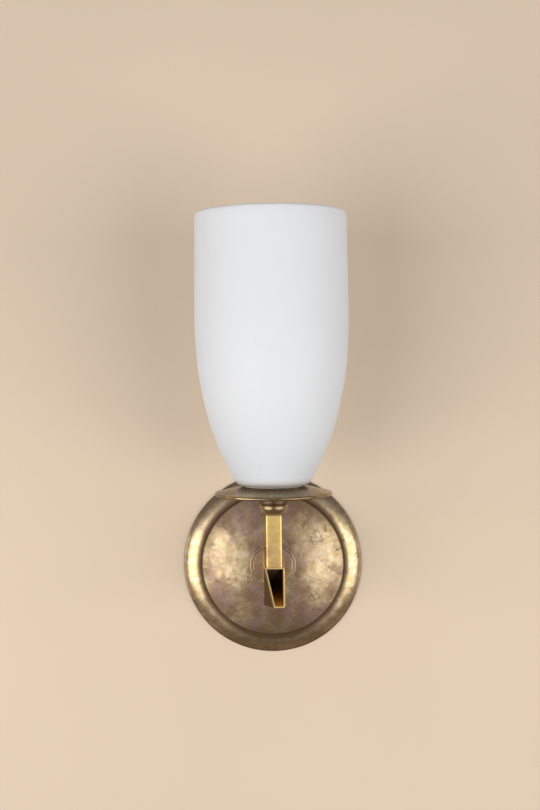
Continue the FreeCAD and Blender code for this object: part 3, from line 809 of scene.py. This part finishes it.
def finish_mesh(name: str, shape: bmesh.types.BMesh) -> bpy.types.Object:
    """Makes an object of a mesh, smooth apart from its sharp edges.

    Args:
        name: The object's name.
        shape: The mesh in metres.

    Returns:
        The linked object.
    """
    bmesh.ops.recalc_face_normals(shape, faces=shape.faces)
    mesh = bpy.data.meshes.new(name)
    shape.to_mesh(mesh)
    shape.free()
    for face in mesh.polygons:
        face.use_smooth = True
    mesh.set_sharp_from_angle(angle=SHARP_EDGE_ANGLE)
    piece = bpy.data.objects.new(name, mesh)
    bpy.context.scene.collection.objects.link(piece)
    return piece


def ringed(name: str, rings: Sequence[Sequence[Vector]]) -> bpy.types.Object:
    """Makes a piece of closed rings of points, each joined to the next and the last to the first.

    Args:
        name: The piece's name.
        rings: The rings in millimetres, all with the same number of points.

    Returns:
        The piece.
    """
    shape = bmesh.new()
    rows = [[shape.verts.new(spot * MM) for spot in ring] for ring in rings]
    for low, high in zip(rows, rows[1:] + rows[:1]):
        for index in range(len(low)):
            after = (index + 1) % len(low)
            shape.faces.new([low[index], low[after], high[after], high[index]])
    return finish_mesh(name, shape)


def turned(name: str, outline: Sequence[Point], axis: Axis, steps: int) -> bpy.types.Object:
    """Turns a closed outline round an axis.

    Args:
        name: The piece's name.
        outline: Points of radius and height in millimetres, closed back to the first.
        axis: The line that it goes round.
        steps: The number of runs round the axis.

    Returns:
        The piece.
    """
    ways = directions(steps)
    rings = []
    for radius, height in outline:
        ring = [(radius * across, radius * along) for across, along in ways]
        if axis is Axis.WALL:
            rings.append([Vector((across, -height, along)) for across, along in ring])
        else:
            rings.append([Vector((across, along - SHADE_AXIS_OUT, height)) for across, along in ring])
    return ringed(name, rings)


def bevelled(piece: bpy.types.Object, width: float, segments: int = 3) -> bpy.types.Object:
    """Rounds the piece's sharp edges and keeps its flats flat.

    Args:
        piece: The piece.
        width: The width of the rounding in millimetres.
        segments: The runs that it is drawn with.

    Returns:
        The same piece.
    """
    bevel = piece.modifiers.new("rounded_edges", "BEVEL")
    bevel.width = width * MM
    bevel.segments = segments
    bevel.limit_method = "ANGLE"
    bevel.angle_limit = SHARP_EDGE_ANGLE
    bevel.harden_normals = True
    return piece


def box_mesh(low: Sequence[float], high: Sequence[float]) -> bmesh.types.BMesh:
    """Returns a square block between two corners, in millimetres.

    Args:
        low: Its lower corner.
        high: Its upper corner.

    Returns:
        The block.
    """
    shape = bmesh.new()
    size = Vector(high) - Vector(low)
    middle = (Vector(high) + Vector(low)) / 2
    place = Matrix.Translation(middle) @ Matrix.Diagonal((*size, 1))
    bmesh.ops.create_cube(shape, size=1.0, matrix=place)
    return shape


def dress(piece: bpy.types.Object, finish: Finish) -> None:
    """Gives a piece one finish."""
    piece.data.materials.clear()
    piece.data.materials.append(finish.material())


@dataclass
class Part:
    """A piece that takes the place of one CAD node."""

    node: str = ""
    finish: Finish = PLATE_BRASS
    body: Body = Body.ROOT
    turn_steps: int = 160

    def build(self) -> None:
        """Builds and dresses the piece."""
        raise NotImplementedError

    def stand_in(self, piece: bpy.types.Object) -> None:
        """Dresses the piece, lets it ride and stand for its node, and reports it.

        Args:
            piece: The finished piece.
        """
        dress(piece, self.finish)
        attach(piece, self.body.value)
        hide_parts(self.node)
        LOG.info("%s: %d faces, %s", piece.name, len(piece.data.polygons), self.finish.name)


@dataclass
class Backplate(Part):
    """Spun plate: a lip, a convex band, a groove and a shallow dome."""

    node: str = "backplate"
    turn_steps: int = 256
    radius: float = 57.15
    sheet: float = 0.9
    lip_height: float = 1.0
    lip_land: float = 0.5
    lip_round: float = 0.3
    band_width: float = 10.4
    band_curve: float = 14.0
    groove_width: float = 0.8
    step_height: float = 2.0
    step_round: float = 1.2
    dome_rise: float = 4.6
    hole: float = 5.15

    def __post_init__(self) -> None:
        """Works out the levels that follow from the sizes."""
        self.groove_radius = self.radius - self.lip_land - self.band_width
        self.dome_edge = self.groove_radius - self.groove_width
        self.dome_flat = self.dome_edge - self.step_round
        drop = self.band_curve - math.sqrt(self.band_curve**2 - self.band_width**2)
        self.groove_depth = self.lip_height + drop
        self.edge_depth = self.groove_depth + self.step_height
        self.front = self.edge_depth + self.dome_rise
        self.dome_curve = (self.dome_flat**2 + self.dome_rise**2) / (2 * self.dome_rise)

    def dome_depth(self, radius: float, skin: float = 0.0) -> float:
        """Returns the dome's distance from the wall at a radius, a skin's thickness under its face."""
        curve = self.dome_curve - skin
        return self.front - self.dome_curve + math.sqrt(curve**2 - radius**2)

    def skin_points(self, skin: float) -> list[Point]:
        """Returns one face of the sheet from the lip to the hole.

        Args:
            skin: How far the face lies under the front.

        Returns:
            The points from the lip inwards.
        """
        lip = self.radius - self.lip_land - skin
        bend = self.band_curve - skin
        lip_angle = math.degrees(math.acos((lip - self.groove_radius) / bend))
        band = arc((self.groove_radius, self.groove_depth - self.band_curve), bend, lip_angle, 90, steps=20)
        edge = self.dome_edge - skin
        step = arc((self.dome_flat, self.edge_depth - self.step_round), self.step_round - skin, 0, 90, steps=6)
        radii = spread(self.dome_flat, self.hole, steps=40)
        dome = [(radius, self.dome_depth(radius, skin)) for radius in radii]
        return band + [(edge, self.groove_depth - skin)] + step + dome[1:]

    def build(self) -> None:
        """Builds and dresses the plate."""
        corner = (self.radius - self.lip_round, self.lip_height - self.lip_round)
        lip = [(self.radius, 0.0)] + arc(corner, self.lip_round, 0, 90, steps=4)
        back = self.skin_points(self.sheet)
        outline = lip + self.skin_points(0.0)[1:] + back[::-1] + [(back[0][0], 0.0)]
        self.stand_in(turned("spun_plate", outline, Axis.WALL, self.turn_steps))


@dataclass
class Boss(Part):
    """Turned boss in two steps between the dome and the arm."""

    node: str = "boss"
    plate: Backplate = field(default_factory=Backplate)
    radius: float = 14.6
    base_height: float = 1.0
    step_radius: float = 12.8
    step_height: float = 1.5
    round_radius: float = 0.6
    hole: float = 4.9
    seat_gap: float = 0.05

    def build(self) -> None:
        """Builds and dresses the boss on its plate."""
        base_top = self.plate.front + self.base_height
        face = base_top + self.step_height
        radii = spread(self.hole, self.radius, steps=8)
        seat = [(radius, self.plate.dome_depth(radius) + self.seat_gap) for radius in radii]
        outer, inner = self.rounding(self.radius, base_top), self.rounding(self.step_radius, face)
        outline = seat + outer + [(self.step_radius, base_top)] + inner + [(self.hole, face)]
        self.stand_in(turned("turned_boss", outline, Axis.WALL, self.turn_steps))

    def rounding(self, radius: float, height: float) -> list[Point]:
        """Returns the round edge of a step with this radius and height."""
        return arc((radius - self.round_radius, height - self.round_radius), self.round_radius, 0, 90, steps=5)


@dataclass
class Arm(Part):
    """Folded box arm with an open front end, the left side of which is folded in."""

    node: str = "arm"
    width: float = 11.9
    height: float = 22.8
    wall: float = 0.8
    corner: float = 1.0
    rear: float = 14.73
    front: float = 93.9
    fold_top_width: float = 0.35
    fold_width: float = 5.4
    fold_depth: float = 9.0
    riser_bore: float = 3.5
    edge_round: float = 0.28

    def __post_init__(self) -> None:
        """Fits the brass to the arm's folded side, inside and ends."""
        point, normal = self.fold_plane()
        inner = (self.width / 2 - self.wall, self.height / 2 - self.wall)
        fold = {"fold_point": tuple(point), "fold_normal": tuple(normal)}
        self.finish = replace(ARM_BRASS, **fold, inner_half=inner, front=self.front, rear=self.rear)

    def fold_plane(self) -> tuple[Vector, Vector]:
        """Returns a point of the folded side's plane and its outward normal.

        Returns:
            The point and the normal.
        """
        left, bottom = -self.width / 2, -self.height / 2
        top = Vector((left + self.fold_top_width, -self.front, self.height / 2))
        right = Vector((left + self.fold_width, -self.front, bottom))
        rear = Vector((left, -self.front + self.fold_depth, bottom))
        normal = (right - top).cross(rear - top).normalized()
        corner = Vector((left, -self.front, bottom))
        return top, normal if normal.dot(corner - top) > 0 else -normal

    def tube(self, inset: float, reach: float) -> bmesh.types.BMesh:
        """Returns the arm's outside or inside as a solid, cut by the folded side.

        Args:
            inset: How far its walls lie inside the outer faces.
            reach: How far it runs past both ends.

        Returns:
            The solid in millimetres.
        """
        half, top = self.width / 2 - inset, self.height / 2 - inset
        shape = box_mesh((-half, -self.front - reach, -top), (half, -self.rear + reach, top))
        if not inset:
            along = [edge for edge in shape.edges if abs((edge.verts[0].co - edge.verts[1].co).y) > self.height]
            bmesh.ops.bevel(shape, geom=along, offset=self.corner, segments=4, profile=0.5, affect="EDGES")
        point, normal = self.fold_plane()
        geometry = shape.verts[:] + shape.edges[:] + shape.faces[:]
        plane = {"plane_co": point - normal * inset, "plane_no": normal}
        cut = bmesh.ops.bisect_plane(shape, geom=geometry, dist=1e-5, clear_outer=True, **plane)
        rim = [each for each in cut["geom_cut"] if isinstance(each, bmesh.types.BMEdge)]
        bmesh.ops.contextual_create(shape, geom=rim)
        bmesh.ops.scale(shape, vec=(MM, MM, MM), verts=shape.verts)
        return shape

    def build(self) -> None:
        """Builds and dresses the arm."""
        piece = finish_mesh("folded_arm", self.tube(0.0, 0.0))
        bore = self.riser_bore
        hole = box_mesh((-bore, -SHADE_AXIS_OUT - bore, 0), (bore, -SHADE_AXIS_OUT + bore, self.height))
        bmesh.ops.scale(hole, vec=(MM, MM, MM), verts=hole.verts)
        cutters = [finish_mesh("arm_inside", self.tube(self.wall, 1.0)), finish_mesh("wire_hole", hole)]
        carve(piece, cutters)
        self.stand_in(bevelled(piece, self.edge_round))


def carve(piece: bpy.types.Object, cutters: Sequence[bpy.types.Object]) -> None:
    """Cuts pieces out of a piece and removes them.

    Args:
        piece: The piece that is cut.
        cutters: The shapes that are cut out.
    """
    for cutter in cutters:
        cut = piece.modifiers.new("cut", "BOOLEAN")
        cut.operation = "DIFFERENCE"
        cut.solver = "EXACT"
        cut.object = cutter
    bpy.context.view_layer.update()
    result = bpy.data.meshes.new_from_object(piece.evaluated_get(bpy.context.evaluated_depsgraph_get()))
    piece.modifiers.clear()
    piece.data = result
    result.set_sharp_from_angle(angle=SHARP_EDGE_ANGLE)
    for cutter in cutters:
        bpy.data.objects.remove(cutter)


@dataclass
class Riser(Part):
    """Square tube that stands on the arm's end."""

    node: str = "riser"
    width: float = 9.0
    wall: float = 1.0
    corner: float = 0.8
    least_corner: float = 0.05
    bottom: float = 11.4
    top: float = 45.45

    def build(self) -> None:
        """Builds and dresses the riser."""
        outer, inner = self.width / 2, self.width / 2 - self.wall
        section = [(outer, self.bottom), (outer, self.top), (inner, self.top), (inner, self.bottom)]
        self.stand_in(ringed("square_riser", [self.square(half, level) for half, level in section]))

    def square(self, half: float, level: float) -> list[Vector]:
        """Returns a square with round corners on the shade's axis.

        Args:
            half: Half the square's width.
            level: Its height.

        Returns:
            Its points in millimetres.
        """
        bend = max(self.corner - (self.width / 2 - half), self.least_corner)
        points = []
        for quarter in range(4):
            turn = math.radians(90 * quarter)
            side = Vector((half - bend, half - bend))
            centre = Matrix.Rotation(turn, 2) @ side
            for spot in arc(tuple(centre), bend, 90 * quarter, 90 * quarter + 90, steps=6):
                points.append(Vector((spot[0], spot[1] - SHADE_AXIS_OUT, level)))
        return points


@dataclass
class Collar(Part):
    """Turned collar: a flange under the saucer, a waist and a bead."""

    node: str = "collar"
    finish: Finish = SAUCER_BRASS
    turn_steps: int = 128
    bottom: float = 42.5
    height: float = 14.1
    flange_radius: float = 8.7
    flange_drop: float = 8.9
    waist_radius: float = 7.8
    bead_radius: float = 8.1
    bead_height: float = 3.2
    bead_drop: float = 11.0
    foot_radius: float = 7.0
    recess: float = 4.7
    edge_round: float = 0.3

    def build(self) -> None:
        """Builds and dresses the collar."""
        top = self.bottom + self.height
        flange, bead = top - self.flange_drop, top - self.bead_drop
        half = self.bead_height / 2
        bulge = self.bead_radius - self.waist_radius
        curve = (half**2 + bulge**2) / (2 * bulge)
        sweep = math.degrees(math.asin(half / curve))
        beading = arc((self.bead_radius - curve, bead), curve, -sweep, sweep, steps=14)
        low = (self.flange_radius - self.edge_round, flange + self.edge_round)
        high = (self.flange_radius - self.edge_round, top - self.edge_round)
        outline = [(self.recess, self.bottom), (self.foot_radius, self.bottom)] + beading
        outline += arc(low, self.edge_round, -80, 0, steps=4) + arc(high, self.edge_round, 0, 90, steps=4)
        outline += [(self.recess, top)]
        self.stand_in(turned("turned_collar", outline, Axis.SHADE, self.turn_steps))


@dataclass
class Saucer(Part):
    """Domed saucer with a rolled edge and a flat middle."""

    node: str = "saucer"
    finish: Finish = SAUCER_BRASS
    turn_steps: int = 224
    radius: float = 33.6
    sheet: float = 1.0
    seat_level: float = 57.6
    rise: float = 3.3
    seat_radius: float = 17.6
    bead: float = 1.1
    hole: float = 4.9
    seat_bend: Point = (1.0, 0.06)
    upper_slope: Point = (3.6, 0.78)
    lower_slope: Point = (4.0, 0.95)
    roll_start: Point = (0.6, 0.02)
    roll_end: Point = (1.6, 0.35)

    def build(self) -> None:
        """Builds and dresses the saucer."""
        edge = self.seat_level - self.rise
        centre = (self.radius - self.bead, edge - self.bead)
        top = [(self.hole, self.seat_level), (self.seat_radius - self.seat_bend[0], self.seat_level)]
        slope = [
            (self.seat_radius, self.seat_level - self.seat_bend[1]),
            (self.seat_radius + self.upper_slope[0], self.seat_level - self.upper_slope[1]),
            (centre[0] - self.lower_slope[0], edge + self.lower_slope[1]),
            (centre[0] - self.roll_start[0], edge + self.roll_start[1]),
        ]
        top += smooth_curve(slope, steps=5)
        roll = arc(centre, self.bead, 90, -190, steps=26)
        under = [
            (centre[0] - self.roll_end[0], edge - self.sheet + self.roll_end[1]),
            (self.seat_radius, self.seat_level - self.sheet),
            (self.hole, self.seat_level - self.sheet),
        ]
        self.stand_in(turned("domed_saucer", top + roll + under, Axis.SHADE, self.turn_steps))


@dataclass
class Shade(Part):
    """Open bullet-shaped glass on a flat foot."""

    node: str = "shade"
    finish: Finish = OPAL
    body: Body = Body.SHADE
    turn_steps: int = 192
    foot: float = 58.2
    height: float = 155.2
    radius: float = 44.0
    wall: float = 3.0
    floor: float = 3.5
    floor_round: float = 1.8
    foot_radius: float = 17.4
    foot_round: float = 3.2
    foot_lift: float = 1.1
    hole: float = 14.6
    rim_round: float = 1.4
    low_radius: float = 23.2
    mouth_share: float = 0.975
    outline_shares: tuple[Point, ...] = (
        (0.034, 0.000),
        (0.121, 0.324),
        (0.210, 0.573),
        (0.298, 0.751),
        (0.386, 0.877),
        (0.474, 0.960),
        (0.605, 1.000),
        (0.800, 0.989),
    )

    def side(self, inset: float) -> list[Point]:
        """Returns one face of the wall from foot to mouth.

        Args:
            inset: How far the face lies inside the outer one.

        Returns:
            The points from the foot up.
        """
        swell, low = self.radius - self.low_radius, self.low_radius - inset
        points = [(low + share * swell, self.foot + level * self.height) for level, share in self.outline_shares]
        points.append((low + self.mouth_share * swell, self.foot + self.height - self.rim_round))
        return smooth_curve(points, steps=8)

    def build(self) -> None:
        """Builds and dresses the glass."""
        outer, inner = self.side(0.0), self.side(self.wall)
        knee = (self.foot_radius + self.foot_round, self.foot + self.foot_lift)
        foot = smooth_curve([(self.foot_radius, self.foot), knee, outer[0]], steps=5)[:-1]
        rim_middle = ((outer[-1][0] + inner[-1][0]) / 2, outer[-1][1])
        rim = [
            (x, rim_middle[1] + (y - rim_middle[1]) * self.rim_round / (self.wall / 2))
            for x, y in arc(rim_middle, self.wall / 2, 0, 180, steps=12)
        ]
        floor = self.foot + self.floor
        outline = [(self.hole, self.foot)] + foot + outer[:-1] + rim + inner[::-1][1:]
        outline += [(inner[0][0] - self.floor_round, floor), (self.hole, floor)]
        self.stand_in(turned("bullet_shade", outline, Axis.SHADE, self.turn_steps))


@dataclass
class HiddenPieces:
    """The pieces that keep their CAD shape: fastenings, washers, socket, leads and lamp."""

    record: Mapping[str, Any]

    def build(self, replaced: Sequence[str]) -> None:
        """Gives each carried-over node its finish.

        Args:
            replaced: The nodes that other pieces stand for.
        """
        for row in self.record["subparts"]:
            node, slot = row["node"], row["material_slot"]
            if node not in replaced:
                dress(frame["nodes"][node], SMALL_FINISHES[slot])
                LOG.info("%s: carried over, %s", node, slot)


@dataclass
class Studio:
    """A plain pale wall and floor, two soft boxes at the sides, a dim room and the camera."""

    wall_color: Color = (0.81, 0.66, 0.51)
    bounce_color: Color = (0.30, 0.26, 0.22)
    pale_rays: tuple[str, ...] = ("Is Camera Ray", "Is Glossy Ray", "Is Transmission Ray")
    wall_gap: float = 0.2
    wall_half: float = 4.0
    wall_cloud: float = 220.0
    wall_blend: Span = (0.3, 0.7)
    wall_shade_share: float = 0.97
    box_opening: float = 46.0
    opening_steps: int = 64
    floor_level: float = -1.5
    focal_pixels: float = 1200.0
    frame_height: float = 810.0
    sensor_height: float = 36.0
    camera_place: Place = (-7.1, -775.0, 121.0)
    camera_roll: float = -0.63
    horizon_rise: float = 30.0
    axis_shift: float = 10.3
    box_distance: float = 1.25
    box_angle: float = 46.0
    box_tilt: float = -6.0
    box_size: Point = (1.35, 0.8)
    box_power: float = 10.4
    box_color: Color = (1.0, 0.985, 0.96)
    power_lean: float = 0.08
    room_strength: float = 0.28
    room_color: Color = (0.98, 0.98, 1.0)

    def surface(self) -> bpy.types.Material:
        """Returns the pale material, which shows from its front only and bounces light as a darker one would.

        Returns:
            The material.
        """
        book = NodeBook("pale_wall")
        tone = book.noise(self.wall_cloud).step(*self.wall_blend)
        darker = tuple(each * self.wall_shade_share for each in self.wall_color)
        pale = book.mix(tone, self.wall_color, darker)
        rays = [book.add("ShaderNodeLightPath", {}, {}, ray) for ray in self.pale_rays]
        seen = (rays[0] + rays[1] + rays[2]).least(1.0)
        color = book.mix(seen, self.bounce_color, pale)
        book.set(Base_Color=color, Roughness=0.85, Specular_IOR_Level=0.15)
        back = book.add("ShaderNodeNewGeometry", {}, {}, "Backfacing")
        clear = book.add("ShaderNodeBsdfTransparent", {}, {})
        front = Wire(book, book.shader.outputs[0])
        one_sided = book.add("ShaderNodeMixShader", {}, {0: back, 1: front, 2: clear})
        book.feed(book.tree.nodes["Material Output"].inputs["Surface"], one_sided)
        return book.material

    def backdrop(self) -> None:
        """Adds the floor and the wall with its box's opening."""
        pale = self.surface()
        count, half, gap = self.opening_steps, self.wall_half, self.wall_gap * MM
        ways = directions(count)
        wall = [(across * self.box_opening * MM, gap, up * self.box_opening * MM) for across, up in ways]
        reach = [half / max(abs(across), abs(up)) for across, up in ways]
        wall += [(across * far, gap, up * far) for (across, up), far in zip(ways, reach)]
        after = [(step + 1) % count for step in range(count)]
        wall_faces = [(step, step + count, after[step] + count, after[step]) for step in range(count)]
        floor = [(x, y, self.floor_level) for x, y in ((-half, -half), (half, -half), (half, gap), (-half, gap))]
        for name, corners, faces in (("pale_wall", wall, wall_faces), ("pale_floor", floor, [(0, 1, 2, 3)])):
            mesh = bpy.data.meshes.new(name)
            mesh.from_pydata(corners, [], faces)
            mesh.materials.append(pale)
            sheet = bpy.data.objects.new(name, mesh)
            bpy.context.scene.collection.objects.link(sheet)

    def soft_box(self, side: int) -> None:
        """Adds one soft box to the left or right of the camera, the left one a little stronger.

        Args:
            side: -1 for the left and 1 for the right.
        """
        lamp = bpy.data.lights.new("soft_box", "AREA")
        lamp.shape = "RECTANGLE"
        lamp.size, lamp.size_y = self.box_size
        lamp.energy = self.box_power * (1 - side * self.power_lean)
        lamp.color = self.box_color
        turn, tilt = math.radians(self.box_angle), math.radians(self.box_tilt)
        reach = self.box_distance
        across, out = side * math.sin(turn) * math.cos(tilt), -math.cos(turn) * math.cos(tilt)
        place = Vector((across, out, math.sin(tilt))) * reach
        holder = bpy.data.objects.new("soft_box", lamp)
        holder.location = place
        holder.rotation_euler = (-place).to_track_quat("-Z", "Y").to_euler()
        bpy.context.scene.collection.objects.link(holder)

    def room(self) -> None:
        """Sets the dim light of the room."""
        world = bpy.data.worlds.new("room")
        world.use_nodes = True
        background = world.node_tree.nodes["Background"]
        background.inputs["Color"].default_value = (*self.room_color, 1.0)
        background.inputs["Strength"].default_value = self.room_strength
        bpy.context.scene.world = world

    def camera(self) -> None:
        """Adds the camera at the photograph's viewing angle."""
        lens = bpy.data.cameras.new("camera")
        lens.sensor_fit = "VERTICAL"
        lens.sensor_height = self.sensor_height
        lens.lens = self.focal_pixels / self.frame_height * self.sensor_height
        lens.shift_x = self.axis_shift / self.frame_height
        lens.shift_y = -self.horizon_rise / self.frame_height
        holder = bpy.data.objects.new("camera", lens)
        holder.location = Vector(self.camera_place) * MM
        level = Matrix.Rotation(math.radians(90), 4, "X")
        holder.rotation_euler = (level @ Matrix.Rotation(math.radians(self.camera_roll), 4, "Z")).to_euler()
        bpy.context.scene.collection.objects.link(holder)
        bpy.context.scene.camera = holder

    def build(self) -> None:
        """Adds everything round the object."""
        self.backdrop()
        for side in (-1, 1):
            self.soft_box(side)
        self.room()
        self.camera()
        bpy.context.scene.view_settings.view_transform = "Standard"


def main() -> None:
    """Builds the sconce and the studio."""
    logging.basicConfig(level=logging.INFO, format="%(message)s")
    plate, arm = Backplate(), Arm()
    parts = [plate, Boss(plate=plate), arm, Riser(finish=arm.finish), Collar(), Saucer(), Shade()]
    for part in parts:
        part.build()
    HiddenPieces(frame["record"]).build([part.node for part in parts])
    Studio().build()


if __name__ == "__main__":
    main()
